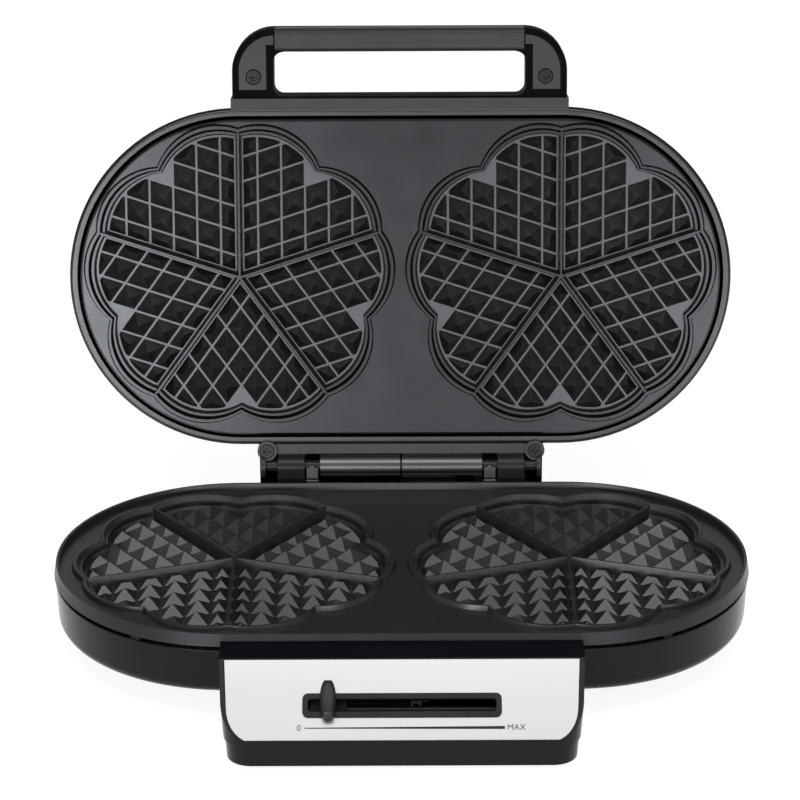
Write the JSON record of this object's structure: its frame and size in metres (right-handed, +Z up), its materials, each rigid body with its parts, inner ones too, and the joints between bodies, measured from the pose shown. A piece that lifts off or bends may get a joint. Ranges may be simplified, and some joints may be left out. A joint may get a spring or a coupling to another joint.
{
  "type": "double heart waffle maker",
  "caption": "Hinged waffle maker, standing open, with cast heart-pattern cooking plates in rounded black housings, a loop handle and a sloping front panel with a sliding heat control.",
  "frame": {"origin": "on the table top, under the middle of the open appliance", "axes": "+X along the hinge to the viewer's right, -Y towards the user and the control panel, +Z up"},
  "size_m": [0.3508, 0.3099, 0.2802],
  "materials": {
    "control_black": "matt black plastic",
    "fascia_silver": "satin silver plate",
    "gear_white": "white nylon",
    "handle_black": "satin black heat-proof plastic",
    "heater_steel": "steel heater tube",
    "hinge_metal": "black painted metal",
    "housing_black": "glossy black moulded housing",
    "pin_steel": "bright steel",
    "plate_coating": "cast aluminium with dark grey non-stick coating",
    "reflector_aluminium": "pressed aluminium sheet",
    "rubber_black": "matt black rubber",
    "screw_steel": "dark plated steel",
    "terminal_white": "off-white terminal plastic",
    "thermostat_metal": "plain steel"
  },
  "bodies": {
    "base": {"base_housing": "housing_black", "lower_cooking_plate": "plate_coating", "lower_heating_element": "heater_steel", "lower_reflector": "reflector_aluminium", "lower_plate_screws": "screw_steel", "plate_spacers": "hinge_metal", "lower_thermal_fuse": "terminal_white", "terminal_block": "terminal_white", "cord_gland": "rubber_black", "feet": "rubber_black", "base_hinge_bracket": "hinge_metal", "hinge_bracket_screws": "screw_steel", "hinge_side_blocks": "hinge_metal", "hinge_pin": "pin_steel", "hinge_clips": "pin_steel", "console_housing": "housing_black", "console_bolts": "screw_steel", "console_bottom_cover": "housing_black", "fascia_plate": "fascia_silver", "slot_bezel": "control_black", "slider_guide_rod": "pin_steel", "thermostat_body": "thermostat_metal", "thermostat_tab": "thermostat_metal", "thermostat_screw": "screw_steel"},
    "lid": {"lid_housing": "housing_black", "upper_cooking_plate": "plate_coating", "upper_heating_element": "heater_steel", "upper_reflector": "reflector_aluminium", "upper_plate_screws": "screw_steel", "upper_reflector_screws": "screw_steel", "upper_thermal_fuse": "terminal_white", "lid_hinge_bracket": "hinge_metal", "lid_hinge_screws": "screw_steel", "handle_frame": "handle_black", "handle_grip": "handle_black", "handle_side_covers": "handle_black", "handle_screws": "screw_steel", "handle_bolts": "screw_steel"},
    "heat_slider": {"slider_knob": "control_black", "slider_carriage": "gear_white"},
    "thermostat_rotor": {"thermostat_pinion": "gear_white", "thermostat_spindle": "thermostat_metal"}
  },
  "joints": [
    {"name": "lid_hinge", "type": "hinge", "parent": "base", "child": "lid", "pos_m": [0, 0.0858, 0.0533], "axis": [1, 0, 0], "range_deg": [0, 101.5]},
    {"name": "heat_slide", "type": "slide", "parent": "base", "child": "heat_slider", "axis": [1, 0, 0], "range_m": [0, 0.0702]},
    {"name": "thermostat_turn", "type": "hinge", "parent": "base", "child": "thermostat_rotor", "pos_m": [0, -0.1152, 0.024], "axis": [0, 0, 1], "range_deg": [0, 287.3]}
  ],
  "couplings": [
    {"joint": "thermostat_turn", "follows": "heat_slide", "rad_per_m": 71.429}
  ]
}
